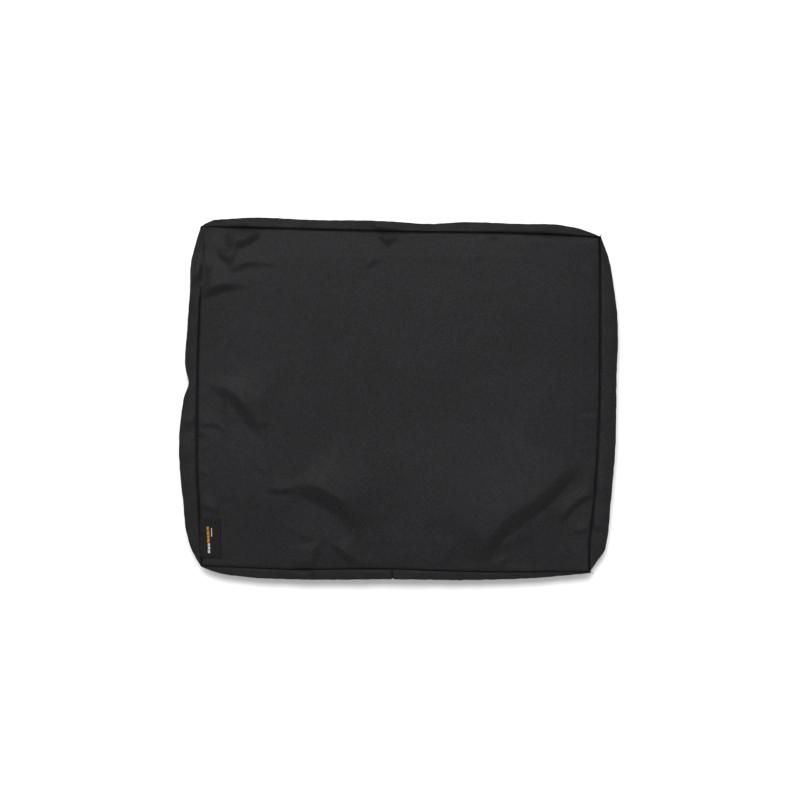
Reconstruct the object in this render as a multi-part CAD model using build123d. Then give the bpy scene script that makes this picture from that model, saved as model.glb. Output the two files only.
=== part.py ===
from build123d import *
import math
import os

# A back protector lying on its back: a slack, box-shaped cloth cover around a core of foam
# layers and a stiff plate. A zip low on the top gusset lets the core out.
# X runs across the back, Y up it, towards the zip, and Z out of the front panel.
# The origin is the middle of the face that it lies on.

# ---- Cover
panel_width = 368.0          # front and back panel, seam to seam
panel_height = 312.0
cloth = 0.8                  # thickness of the coated weave
seam_height = 17.0           # underside of the front panel's rim, above the ground
side_fold = 18.0             # how far the side gussets fold out past their seams
end_fold = 10.5              # how far the top and bottom gussets fold out
side_taper_top = 60.0        # length over which a fold dies away into its corner
side_taper_bottom = 24.0
top_taper = 40.0
bottom_taper = 76.0
bottom_join_x = -3.0         # seam that joins the two halves of the bottom gusset
fold_steps = 9               # odd, so that the crest of a fold is flat
binding_width = 8.0          # taped seam allowance inside each seam
binding_thickness = 1.6

# ---- Core, in layers from the back to the front
core_gap = 14.0              # between the core's edge and the seams
core_upper_corner = 64.0     # radii; the core narrows towards the waist
core_lower_corner = 120.0
comfort_thickness = 4.0
impact_thickness = 7.5       # each of two layers
plate_thickness = 2.0
plate_inset = 10.0           # plate edge inside the foam's edge
boss_spread = 5.0            # the cover starts to rise this far outside the core
boss_gap = 0.3               # between its slope and the foam's upper edge
vent_diameter = 8.0
vent_pitch = 32.0
vent_edge = 18.0             # least distance from a vent's middle to the foam's edge

# ---- Label, sewn on at the left edge
label_width = 19.0
label_height = 36.5
label_thickness = 0.6
label_rise = 10.5            # from the bottom seam to the label

# ---- Zip, a number 3 coil
zip_end_margin = 34.0        # from the side seams to the ends of the coil
tape_thickness = 0.5
tape_gap = 0.2               # between the upper tape and the front seam's binding
tape_overlap = 10.0          # tape past each end of the coil
opening_margin = 2.0         # gusset cut back past each end of the coil
coil_width = 1.9             # each half
coil_thickness = 2.0
coil_gap = 0.6               # between the halves, for the slider's post
stop_length = 2.5
stop_end_gap = 1.0           # slider to stop, closed and open
stop_width = 2.1             # of one top stop, across the tape
stop_thickness = 2.2
gusset_hem = 2.0             # flat strip of the top gusset sewn to the upper tape

slider_length = 9.0
slider_width = 6.6
slider_plate = 1.0
slider_corner = 1.2
slider_gap = 0.3             # slider to tape, coil and the pull's eye
slider_margin = 0.8          # slider to the back panel and to the top gusset
post_length = 3.0
post_gap = 0.1               # between the post and each half of the coil
ear_thickness = 0.8

pin_diameter = 1.4
pin_head_radius = 1.1
pin_head = 0.3
pin_fit = 0.02               # radial, pin in ear
eye_fit = 0.05               # radial, pull's eye on the pin
eye_radius = 1.5
eye_width = 2.6
pull_length = 25.0
pull_width = 5.5
pull_thickness = 1.5
pull_neck = 3.0              # from the pin to where the tab widens
pull_corner = 1.8
pull_slot_length = 9.0
pull_slot_width = 2.2
pull_slot_edge = 3.0         # from the tab's end to the slot

# ---- What follows from them
half_width = panel_width / 2
half_height = panel_height / 2
core_width = panel_width - 2 * core_gap
core_height = panel_height - 2 * core_gap
core_thickness = comfort_thickness + 2 * impact_thickness + plate_thickness
boss_rise = cloth + core_thickness - seam_height
# The rise's straight slope clears the foam's edge, and is level again this far inside it.
boss_inset = (boss_spread - boss_gap) * boss_rise / (boss_rise - plate_thickness) - boss_spread

tape_face = half_height - cloth                 # outer face of both tapes
coil_end = half_width - zip_end_margin
tape_end = coil_end + tape_overlap
opening_end = coil_end + opening_margin
zip_level = cloth + slider_margin + slider_width / 2
tape_width = seam_height - binding_thickness - tape_gap - zip_level - coil_gap / 2
gusset_low = zip_level + slider_width / 2 + slider_margin
slider_start = stop_length + stop_end_gap + slider_length / 2 - coil_end
coil_face = tape_face + coil_thickness
plate_low = coil_face + slider_gap              # inner face of the slider's outer plate
plate_high = plate_low + slider_plate
pin_level = plate_high + slider_gap + eye_radius
ear_near = eye_width / 2 + slider_gap
ear_far = ear_near + ear_thickness


def block(x_range, y_range, z_range):
    ranges = (x_range, y_range, z_range)
    size = [high - low for low, high in ranges]
    middle = [(high + low) / 2 for low, high in ranges]
    return Pos(*middle) * Box(*size)


def core_outline(grow):
    # The core seen from the front, grown on all sides by that much.
    outline = Rectangle(core_width + 2 * grow, core_height + 2 * grow)
    upper = outline.vertices().group_by(Axis.Y)[-1]
    outline = fillet(upper, core_upper_corner + grow)
    lower = outline.vertices().group_by(Axis.Y)[0]
    return fillet(lower, core_lower_corner + grow)


def core_slab(grow, low, thickness):
    return Pos(0, 0, low) * extrude(core_outline(grow), thickness)


def boss(low):
    # Sloping rise over the core.
    foot = Pos(0, 0, low) * core_outline(boss_spread)
    top = Pos(0, 0, low + boss_rise) * core_outline(-boss_inset)
    return loft([foot, top], ruled=True)


def front_panel():
    rim = block((-half_width, half_width), (-half_height, half_height),
                (seam_height, seam_height + cloth))
    return rim + boss(seam_height + cloth) - boss(seam_height)


def back_panel():
    return block((-half_width, half_width), (-half_height, half_height), (0, cloth))


def fold_line(seam, fold, low, high, hem):
    # Middle line of the cloth across a gusset, from the back seam up to the front one.
    middle = seam - cloth / 2
    peak = math.sin(math.pi * (fold_steps - 1) / (2 * fold_steps))
    points = [(middle, low)] if hem else []
    for step in range(fold_steps + 1):
        share = step / fold_steps
        out = fold * math.sin(math.pi * share) / peak
        points.append((middle + out, low + hem + share * (high - low - hem)))
    return points


def strip_section(station, points):
    # The middle line thickened to the cloth: along X, outwards along +Y.
    shifts = [(cloth / 2, 0.0)]
    for before, here, after in zip(points, points[1:], points[2:]):
        normals = []
        for start, end in ((before, here), (here, after)):
            length = math.dist(start, end)
            normals.append(((end[1] - start[1]) / length, (start[0] - end[0]) / length))
        (a, b), (c, d) = normals
        mitre = cloth / 2 / (1 + a * c + b * d)
        shifts.append(((a + c) * mitre, (b + d) * mitre))
    shifts.append((cloth / 2, 0.0))
    outer = [(station, y + dy, z + dz) for (y, z), (dy, dz) in zip(points, shifts)]
    inner = [(station, y - dy, z - dz) for (y, z), (dy, dz) in zip(points, shifts)]
    corners = [Vector(*corner) for corner in outer + inner[::-1]]
    return Face(Wire.make_polygon(corners, close=True))


def gusset(seam, stations, low=cloth, hem=0.0):
    # stations: (place along X, how far the fold stands out there)
    sections = [strip_section(place, fold_line(seam, fold, low, seam_height, hem))
                for place, fold in stations]
    return loft(sections, ruled=True)


def gusset_left():
    stations = [(-half_height, 0.0), (side_taper_bottom - half_height, side_fold),
                (half_height - side_taper_top, side_fold), (half_height, 0.0)]
    return Rot(0, 0, 90) * gusset(half_width, stations)


def gusset_bottom_right():
    end = half_width - cloth
    strip = gusset(half_height, [(-end, 0.0), (bottom_taper - end, end_fold),
                                 (-bottom_join_x, end_fold)])
    return Rot(0, 0, 180) * strip


def gusset_bottom_left():
    end = half_width - cloth
    strip = gusset(half_height, [(-bottom_join_x, end_fold), (end - bottom_taper, end_fold),
                                 (end, 0.0)])
    return Rot(0, 0, 180) * strip


def gusset_top():
    # Sewn to the zip's upper tape, and down to the back panel past both ends of the zip.
    end = half_width - cloth
    stations = [(-end, 0.0), (top_taper - end, end_fold), (end - top_taper, end_fold), (end, 0.0)]
    strip = gusset(half_height, stations, gusset_low, gusset_hem)
    right_end = block((opening_end, end), (tape_face, half_height), (cloth, gusset_low))
    return strip + right_end + mirror(right_end, about=Plane.YZ)


def binding_ring(low):
    reach_x = half_width - cloth
    reach_y = half_height - cloth
    levels = (low, low + binding_thickness)
    outside = block((-reach_x, reach_x), (-reach_y, reach_y), levels)
    near_x = reach_x - binding_width
    near_y = reach_y - binding_width
    return outside - block((-near_x, near_x), (-near_y, near_y), levels)


def back_seam_binding():
    # The zip's lower tape takes its place along the top.
    gap = tape_end + slider_gap
    top_gap = block((-gap, gap), (0, half_height), (cloth, cloth + binding_thickness))
    return binding_ring(cloth) - top_gap


def vent_places():
    # A square grid centred on the core, wherever a vent clears its edge and rounded corners.
    columns = int((core_width / 2 - vent_edge) / vent_pitch)
    rows = int((core_height / 2 - vent_edge) / vent_pitch)
    places = []
    for column in range(-columns, columns + 1):
        for row in range(-rows, rows + 1):
            x = column * vent_pitch
            y = row * vent_pitch
            corner = core_upper_corner if y > 0 else core_lower_corner
            past_x = max(abs(x) - (core_width / 2 - corner), 0)
            past_y = max(abs(y) - (core_height / 2 - corner), 0)
            if math.hypot(past_x, past_y) <= corner - vent_edge:
                places.append((x, y))
    return places


def foam_layer(low, thickness):
    discs = Sketch() + [Pos(x, y) * Circle(vent_diameter / 2) for x, y in vent_places()]
    return core_slab(0, low, thickness) - Pos(0, 0, low) * extrude(discs, thickness)


def spreader_plate():
    return core_slab(-plate_inset, cloth + core_thickness - plate_thickness, plate_thickness)


def side_label():
    low = seam_height + cloth
    bottom = label_rise - half_height
    return block((-half_width, label_width - half_width), (bottom, bottom + label_height),
                 (low, low + label_thickness))


def zip_tape_upper():
    low = zip_level + coil_gap / 2
    return block((-tape_end, tape_end), (tape_face - tape_thickness, tape_face),
                 (low, low + tape_width))


def zip_tape_lower():
    # Stands up behind the coil and turns in flat onto the back panel.
    high = zip_level - coil_gap / 2
    inner = tape_face - tape_thickness
    turned = tape_width - (high - cloth)
    upright = block((-tape_end, tape_end), (inner, tape_face), (cloth, high))
    flat = block((-tape_end, tape_end), (inner - turned, inner), (cloth, cloth + tape_thickness))
    return upright + flat


def zip_half(side, x_range, width, thickness):
    # A bar on the outer face of one tape; side is 1 for the upper tape and -1 for the lower.
    near = zip_level + side * coil_gap / 2
    far = near + side * width
    return block(x_range, (tape_face, tape_face + thickness), (min(near, far), max(near, far)))


def zip_coil(side):
    end = coil_end - stop_length
    return zip_half(side, (-end, end), coil_width, coil_thickness)


def zip_top_stops():
    place = (-coil_end, stop_length - coil_end)
    return Compound(children=[zip_half(side, place, stop_width, stop_thickness)
                              for side in (1, -1)])


def zip_bottom_stop():
    reach = coil_gap / 2 + stop_width
    return block((coil_end - stop_length, coil_end), (tape_face, tape_face + stop_thickness),
                 (zip_level - reach, zip_level + reach))


def zip_slider():
    half = slider_width / 2
    x_range = (slider_start - slider_length / 2, slider_start + slider_length / 2)
    rear_high = tape_face - tape_thickness - slider_gap
    front = block(x_range, (plate_low, plate_high), (zip_level - half, zip_level + half))
    rear = block(x_range, (rear_high - slider_plate, rear_high),
                 (zip_level - half, zip_level + half))
    front = fillet(front.edges().filter_by(Axis.Y), slider_corner)
    rear = fillet(rear.edges().filter_by(Axis.Y), slider_corner)
    post_half = coil_gap / 2 - post_gap
    post = block((slider_start - post_length / 2, slider_start + post_length / 2),
                 (rear_high, plate_low), (zip_level - post_half, zip_level + post_half))
    body = front + rear + post
    flange_near = coil_gap / 2 + coil_width + slider_gap
    flange_x = (x_range[0] + slider_corner, x_range[1] - slider_corner)
    for side in (1, -1):
        flange = sorted((zip_level + side * flange_near, zip_level + side * half))
        body += block(flange_x, (tape_face + slider_gap, plate_low), flange)
        ear = sorted((zip_level + side * ear_near, zip_level + side * ear_far))
        body += block((slider_start - eye_radius, slider_start + eye_radius),
                      (plate_high, pin_level), ear)
        body += pin_cylinder(eye_radius, ear)
    return body - pin_cylinder(pin_diameter / 2 + pin_fit, (zip_level - half, zip_level + half))


def pin_cylinder(radius, z_range):
    low, high = z_range
    return Pos(slider_start, pin_level, low) * extrude(Circle(radius), high - low)


def zip_pull_pin():
    ends = (zip_level - ear_far, zip_level + ear_far)
    pin = pin_cylinder(pin_diameter / 2, ends)
    pin += pin_cylinder(pin_head_radius, (ends[0] - pin_head, ends[0]))
    return pin + pin_cylinder(pin_head_radius, (ends[1], ends[1] + pin_head))


def zip_pull():
    eye = (zip_level - eye_width / 2, zip_level + eye_width / 2)
    y_range = (pin_level - pull_thickness / 2, pin_level + pull_thickness / 2)
    tip = slider_start + pull_length
    tab = block((slider_start + pull_neck, tip), y_range,
                (zip_level - pull_width / 2, zip_level + pull_width / 2))
    tab = fillet(tab.edges().filter_by(Axis.Y), pull_corner)
    slot = block((tip - pull_slot_edge - pull_slot_length, tip - pull_slot_edge), y_range,
                 (zip_level - pull_slot_width / 2, zip_level + pull_slot_width / 2))
    neck = block((slider_start, slider_start + 2 * pull_neck), y_range, eye)
    pull = tab - slot + neck + pin_cylinder(eye_radius, eye)
    return pull - pin_cylinder(pin_diameter / 2 + eye_fit, eye)


inner_foam_low = cloth + comfort_thickness
outer_foam_low = inner_foam_low + impact_thickness
left_strip = gusset_left()

nodes = {
    "front_panel": front_panel(),
    "back_panel": back_panel(),
    "gusset_left": left_strip,
    "gusset_right": mirror(left_strip, about=Plane.YZ),
    "gusset_top": gusset_top(),
    "gusset_bottom_left": gusset_bottom_left(),
    "gusset_bottom_right": gusset_bottom_right(),
    "front_seam_binding": binding_ring(seam_height - binding_thickness),
    "back_seam_binding": back_seam_binding(),
    "side_label": side_label(),
    "comfort_foam": foam_layer(cloth, comfort_thickness),
    "impact_foam_inner": foam_layer(inner_foam_low, impact_thickness),
    "impact_foam_outer": foam_layer(outer_foam_low, impact_thickness),
    "spreader_plate": spreader_plate(),
    "zip_tape_upper": zip_tape_upper(),
    "zip_tape_lower": zip_tape_lower(),
    "zip_coil_upper": zip_coil(1),
    "zip_coil_lower": zip_coil(-1),
    "zip_top_stops": zip_top_stops(),
    "zip_bottom_stop": zip_bottom_stop(),
    "zip_slider": zip_slider(),
    "zip_pull_pin": zip_pull_pin(),
    "zip_pull": zip_pull(),
}

os.makedirs("parts", exist_ok=True)
for name, shape in nodes.items():
    export_step(shape, f"parts/{name}.step")
print("slider starts at x", slider_start, "and travels", -2 * slider_start)
print("pull pin at y", pin_level, "and z", zip_level)
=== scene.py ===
import math

import bmesh
import bpy
import numpy as np
from mathutils import Matrix, Vector


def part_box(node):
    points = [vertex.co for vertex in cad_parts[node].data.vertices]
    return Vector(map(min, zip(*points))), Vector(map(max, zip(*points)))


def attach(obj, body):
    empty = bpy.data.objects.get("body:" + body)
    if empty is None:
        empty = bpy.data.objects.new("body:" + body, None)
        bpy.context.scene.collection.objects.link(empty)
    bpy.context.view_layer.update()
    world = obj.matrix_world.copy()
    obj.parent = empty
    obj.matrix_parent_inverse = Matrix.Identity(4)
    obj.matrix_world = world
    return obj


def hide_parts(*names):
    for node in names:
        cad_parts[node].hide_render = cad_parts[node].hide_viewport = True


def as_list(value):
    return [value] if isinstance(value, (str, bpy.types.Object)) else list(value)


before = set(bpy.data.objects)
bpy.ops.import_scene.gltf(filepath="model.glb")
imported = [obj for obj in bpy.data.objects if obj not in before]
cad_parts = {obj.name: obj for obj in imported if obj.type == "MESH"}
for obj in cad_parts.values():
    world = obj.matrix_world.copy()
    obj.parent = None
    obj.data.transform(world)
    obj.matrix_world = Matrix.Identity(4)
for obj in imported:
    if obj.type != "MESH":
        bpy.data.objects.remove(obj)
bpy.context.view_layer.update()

# Lengths are metres. X runs across the back, Y up it towards the zip, Z out of the front panel.

panelLow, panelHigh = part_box("back_panel")
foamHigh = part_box("impact_foam_outer")[1]
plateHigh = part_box("spreader_plate")[1]
tapeLow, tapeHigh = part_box("zip_tape_upper")
clothGauge = panelHigh.z - panelLow.z
halfWidth, halfHeight = panelHigh.x, panelHigh.y
hemLevel = tapeLow.z + (tapeHigh.z - tapeLow.z) * 0.38      # the top gusset's edge on the zip's tape

core = {
    "upperCorner": 0.064,      # radii of the foam's corners
    "lowerCorner": 0.120,
    "plateInset": foamHigh.x - plateHigh.x,
    "plateSlope": 0.7,         # fall of the cloth's rest outside the plate's edge
}

# Every seam and fold list holds (share of the side, metres outwards from the CAD edge).
# Sides run from the top down, or from the left to the right.
cover = {
    "spacing": 0.0017,         # mesh size on the front panel
    "coarse": 0.004,           # mesh size while the cloth settles
    "seams": {
        "left": [(0, 0.0), (0.06, -0.0022), (0.14, -0.0022), (0.2, 0.0), (0.33, 0.0018),
                 (0.55, 0.0032), (0.74, 0.0030), (0.86, 0.0010), (1, -0.0005)],
        "right": [(0, -0.0002), (0.25, -0.0004), (0.55, -0.0014), (0.72, -0.0042),
                  (0.84, -0.0072), (0.9, -0.0096), (1, -0.0097)],
        "top": [(0, 0.0033), (0.15, 0.0020), (0.5, -0.0012), (0.8, -0.0028), (1, -0.0058)],
        "bottom": [(0, -0.0030), (0.2, -0.0006), (0.5, -0.0006), (0.66, 0.0012), (1, 0.0027)],
    },
    "folds": {
        "left": [(0, 0.0006), (0.04, 0.0062), (0.1, 0.0118), (0.2, 0.0104), (0.3, 0.0112),
                 (0.42, 0.0112), (0.455, 0.0084), (0.5, 0.0124), (0.57, 0.0156), (0.8, 0.0147),
                 (0.91, 0.0124), (0.96, 0.0075), (1, 0.0006)],
        "right": [(0, 0.0006), (0.07, 0.0085), (0.16, 0.0132), (0.24, 0.0163), (0.3, 0.0170),
                  (0.42, 0.0157), (0.65, 0.0166), (0.8, 0.0158), (0.925, 0.0155),
                  (0.935, 0.0148), (0.97, 0.0072), (1, 0.0006)],
        "top": [(0, 0.0006), (0.03, 0.0060), (0.08, 0.0085), (0.3, 0.0091), (0.47, 0.0096),
                (0.57, 0.0077), (0.66, 0.0096), (0.8, 0.0088), (0.91, 0.0090), (0.96, 0.0058),
                (1, 0.0006)],
        "bottom": [(0, 0.0006), (0.04, 0.0055), (0.11, 0.0085), (0.22, 0.0097), (0.45, 0.0101),
                   (0.6, 0.0092), (0.75, 0.0078), (0.88, 0.0052), (1, 0.0006)],
    },
    # the back panel's corners, inwards from the CAD corner
    "backCorners": {"topLeft": (0.0005, 0.0), "topRight": (0.0025, 0.0040),
                    "bottomRight": (0.0090, -0.0010), "bottomLeft": (0.0007, 0.0030)},
    "seamLevel": 0.0206,       # front seam at the middle of a side
    "cornerLevels": {"topLeft": 0.0170, "topRight": 0.0178, "bottomRight": 0.0165,
                     "bottomLeft": 0.0172},
    "upperReach": 0.085,       # how far along a seam a corner sags
    "lowerReach": 0.135,
    # height of a fold's crest, between the two seams
    "crestShare": {"left": 0.82, "right": 0.76, "top": 0.93, "bottom": 0.92},
    "foldRound": 1.95,         # 1 is a straight flank, 2 is a round one
    "sag": 4.0,                # pull of the slack cloth's own weight, in 1/m
    "crown": 0.0026,           # how far the soft middle stands up
    "crownEdge": 0.080,
    "loft": 0.0007,            # how far the slack cloth stands off the core
    "easing": 0.0009,          # softens where the cloth meets the core
    # how deep the seams sit, and how wide that dent is
    "grooveDepth": {"left": 0.0024, "right": 0.0027, "top": 0.0029, "bottom": 0.0020},
    "grooveWidth": 0.0012,
    "rolledTo": 0.19,          # the panel's edge rolls over the left seam above this share
    "rolledFade": 0.02,
    "waves": [(0.00012, 0.070, 3), (0.00005, 0.022, 4)],       # height, length and seed
    "pucker": (0.00022, 0.011, 5),                             # the same, beside the seams
    "puckerReach": 0.006,
}

# A crease stands up on the left of its path, steep at the path and slow behind its crest;
# sunk is the share of its height that lies lower than the cloth round it.
# fade gives the share of its length over which it starts and ends; 0 runs on into a seam.
# What a crease doesn't say is as in smallCrease.
smallCrease = {"width": 0.0035, "back": 0.006, "fade": (0.0, 0.6), "sunk": 0.0, "sharpCrest": False}
creases = [
    # lower right corner
    {"path": [(0.0796, -0.1536), (0.084, -0.1425), (0.0915, -0.1325), (0.108, -0.1159),
              (0.1283, -0.103), (0.1449, -0.0883), (0.157, -0.0745), (0.1679, -0.0598)],
     "width": 0.0118, "rise": 0.0064, "sunk": 0.22, "back": 0.038, "fade": (0.16, 0.22)},
    {"path": [(0.1467, -0.1168), (0.1541, -0.1067), (0.1651, -0.0957), (0.178, -0.0892)],
     "width": 0.0036, "rise": 0.0030, "back": 0.010, "fade": (0.3, 0.0)},
    {"path": [(0.043, -0.156), (0.048, -0.143), (0.055, -0.132), (0.066, -0.1245)],
     "width": 0.0040, "rise": 0.0011, "back": 0.010},
    {"path": [(0.0205, -0.155), (0.0145, -0.150), (0.0095, -0.145)], "rise": 0.0010},
    {"path": [(0.093, -0.157), (0.097, -0.150), (0.103, -0.146)], "rise": 0.0009},
    {"path": [(0.183, -0.0125), (0.168, -0.0135), (0.157, -0.0195)], "rise": 0.0008},
    {"path": [(0.174, -0.1215), (0.181, -0.1195), (0.188, -0.123)], "rise": 0.0026,
     "fade": (0.0, 0.5)},
    # lower left corner
    {"path": [(-0.1985, -0.0225), (-0.193, -0.0240), (-0.1885, -0.0290)],
     "width": 0.0030, "rise": 0.0022, "back": 0.005, "fade": (0.3, 0.0)},
    {"path": [(-0.1808, 0.0125), (-0.1743, 0.009), (-0.1582, -0.0046), (-0.1467, -0.0184),
              (-0.1329, -0.0322), (-0.1235, -0.0410)],
     "width": 0.0118, "rise": 0.0060, "sunk": 0.3, "back": 0.020, "fade": (0.4, 0.55),
     "sharpCrest": True},
    {"path": [(-0.133, -0.0265), (-0.126, -0.0255), (-0.117, -0.0215)],
     "width": 0.0040, "rise": 0.0010, "fade": (0.3, 0.5)},
    {"path": [(-0.138, -0.0615), (-0.130, -0.066), (-0.122, -0.072)],
     "width": 0.0045, "rise": 0.0008, "fade": (0.5, 0.5)},
    {"path": [(-0.1265, -0.0846), (-0.1155, -0.0865), (-0.1017, -0.0856), (-0.0897, -0.0837)],
     "width": 0.0048, "rise": 0.0022, "back": 0.010, "fade": (0.3, 0.6)},
    {"path": [(-0.1063, -0.081), (-0.0897, -0.0902), (-0.0731, -0.0994), (-0.0612, -0.1058),
              (-0.0511, -0.1168), (-0.0446, -0.1251), (-0.0382, -0.1316)],
     "width": 0.0160, "rise": 0.0072, "sunk": 0.3, "back": 0.026, "fade": (0.35, 0.5),
     "sharpCrest": True},
    {"path": [(-0.0765, -0.153), (-0.0735, -0.140), (-0.0735, -0.127)],
     "width": 0.0070, "rise": 0.0032, "back": 0.010, "fade": (0.0, 0.4)},
    {"path": [(-0.066, -0.133), (-0.057, -0.1415), (-0.049, -0.148), (-0.041, -0.155)],
     "width": 0.0050, "rise": 0.0025, "back": 0.010, "fade": (0.4, 0.0)},
    {"path": [(-0.182, -0.0265), (-0.172, -0.0255), (-0.163, -0.029), (-0.156, -0.032)],
     "width": 0.0040, "rise": 0.0013, "back": 0.007},
    {"path": [(-0.183, -0.050), (-0.179, -0.0465), (-0.174, -0.044)], "rise": 0.0009},
    {"path": [(-0.184, -0.0755), (-0.180, -0.070), (-0.1745, -0.068)], "rise": 0.0010},
    {"path": [(-0.182, -0.101), (-0.1765, -0.1025), (-0.170, -0.108)],
     "width": 0.0040, "rise": 0.0016, "back": 0.007, "fade": (0.0, 0.5)},
    # upper left corner
    {"path": [(-0.184, 0.092), (-0.174, 0.0955), (-0.1635, 0.099), (-0.150, 0.101),
              (-0.136, 0.102)],
     "width": 0.0072, "rise": 0.0042, "back": 0.016, "fade": (0.1, 0.6)},
    {"path": [(-0.1605, 0.135), (-0.149, 0.139), (-0.140, 0.142), (-0.1325, 0.148),
              (-0.127, 0.154)],
     "width": 0.0066, "rise": 0.0036, "back": 0.014, "fade": (0.3, 0.1)},
    {"path": [(-0.169, 0.1405), (-0.1675, 0.132), (-0.162, 0.127), (-0.156, 0.122)],
     "width": 0.0056, "rise": 0.0030, "back": 0.010, "fade": (0.3, 0.3)},
    {"path": [(-0.1575, 0.113), (-0.150, 0.118), (-0.141, 0.1215), (-0.1295, 0.122),
              (-0.105, 0.1225)],
     "width": 0.0045, "rise": 0.0020, "back": 0.014, "fade": (0.2, 0.7)},
    {"path": [(-0.182, 0.1125), (-0.1765, 0.1175), (-0.169, 0.1215)],
     "width": 0.0058, "rise": 0.0032, "back": 0.009, "fade": (0.0, 0.5)},
    # top edge
    {"path": [(-0.0225, 0.153), (-0.018, 0.147), (-0.0125, 0.139)],
     "width": 0.0045, "rise": 0.0030, "back": 0.010, "fade": (0.0, 0.4)},
    {"path": [(-0.0325, 0.1185), (-0.0235, 0.124), (-0.0145, 0.128)],
     "rise": 0.0011, "back": 0.008, "fade": (0.4, 0.4)},
    # upper right corner
    {"path": [(0.080, 0.147), (0.100, 0.139), (0.125, 0.125), (0.150, 0.110), (0.164, 0.101)],
     "width": 0.0260, "rise": 0.0014, "back": 0.030, "fade": (0.4, 0.4)},
    {"path": [(0.157, 0.1225), (0.168, 0.112), (0.1765, 0.101)],
     "width": 0.0050, "rise": 0.0009, "back": 0.010, "fade": (0.5, 0.3)},
    {"path": [(0.079, 0.145), (0.086, 0.147), (0.092, 0.1505)],
     "width": 0.0040, "rise": 0.0010, "fade": (0.4, 0.0)},
]
creaseShape = {
    "gain": 1.24,
    "samples": 150,
    "faceCurve": 1.15,
    "backCurve": 1.3,
    "dent": 0.0003,            # along the foot of each crease
    "dentWidth": 0.0035,
    "seamFade": (-0.001, 0.008),
}


def smooth(low, high, value):
    share = np.clip((value - low) / (high - low), 0, 1)
    return share * share * (3 - 2 * share)


def smoothCurve(places, values, wanted):
    # Values, or rows of a table, between the given ones, without a kink.
    slopes = np.gradient(values, places, axis=0)
    i = np.clip(np.searchsorted(places, wanted) - 1, 0, len(places) - 2)
    step = (places[i + 1] - places[i]).reshape(-1, *[1] * (values.ndim - 1))
    t = (wanted - places[i]).reshape(step.shape) / step
    return ((1 + 2 * t) * (1 - t) ** 2 * values[i] + t * (1 - t) ** 2 * step * slopes[i]
            + t * t * (3 - 2 * t) * values[i + 1] + t * t * (t - 1) * step * slopes[i + 1])


def alongList(points, share):
    # Smooth curve through given (share, value) pairs.
    places, values = (np.array(column, float) for column in zip(*points))
    return smoothCurve(places, values, np.clip(share, 0, 1))


def sampleGrid(values, us, vs, newUs, newVs):
    # Smooth resampling of a grid of values, first along one way and then the other.
    rows = smoothCurve(vs, values, newVs)
    return np.swapaxes(smoothCurve(us, np.swapaxes(rows, 0, 1), newUs), 0, 1)


def curveThrough(points, count):
    # Evenly spaced places on a smooth curve through given points.
    points = np.array(points, float)
    ends = np.vstack([2 * points[0] - points[1], points, 2 * points[-1] - points[-2]])
    t = np.linspace(0, 1, 12, endpoint=False)[:, None]
    line = []
    for a, b, c, d in zip(ends, ends[1:], ends[2:], ends[3:]):
        line.append(0.5 * (2 * b + (c - a) * t + (2 * a - 5 * b + 4 * c - d) * t ** 2
                           + (3 * b - a - 3 * c + d) * t ** 3))
    line = np.vstack(line + [points[-1:]])
    length = np.concatenate([[0], np.cumsum(np.linalg.norm(np.diff(line, axis=0), axis=1))])
    wanted = np.linspace(0, length[-1], count)
    return np.stack([np.interp(wanted, length, line[:, k]) for k in range(line.shape[1])], -1)


def ripple(x, y, wavelength, seed, waves=7):
    # Gentle uneven waves, from -1 to 1.
    rng = np.random.RandomState(seed)
    total = np.zeros_like(x)
    for _ in range(waves):
        turn = rng.uniform(0, 2 * math.pi)
        length = wavelength * rng.uniform(0.7, 1.5)
        phase = rng.uniform(0, 2 * math.pi)
        total += np.sin(2 * math.pi * (x * math.cos(turn) + y * math.sin(turn)) / length + phase)
    return total / math.sqrt(waves)


def coreDistance(x, y, inset=0.0):
    # How far a place is outside the core's rounded outline; negative inside it.
    corner = np.where(y > 0, core["upperCorner"], core["lowerCorner"]) - inset
    qx = np.abs(x) - (foamHigh.x - inset) + corner
    qy = np.abs(y) - (foamHigh.y - inset) + corner
    outside = np.hypot(np.maximum(qx, 0), np.maximum(qy, 0))
    return outside + np.minimum(np.maximum(qx, qy), 0) - corner


def coreTop(x, y):
    # The core's upper side, with easy slopes outside the plate's and the foam's edges.
    plate = plateHigh.z - core["plateSlope"] * np.maximum(coreDistance(x, y, core["plateInset"]), 0)
    foam = foamHigh.z - np.maximum(coreDistance(x, y), 0)
    return np.maximum(plate, foam) + clothGauge


def fadeEnds(crease, share):
    start, end = crease["fade"]
    strength = np.ones(len(share))
    if start:
        strength *= smooth(0, start, share)
    if end:
        strength *= smooth(0, end, 1 - share)
    return strength


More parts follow.
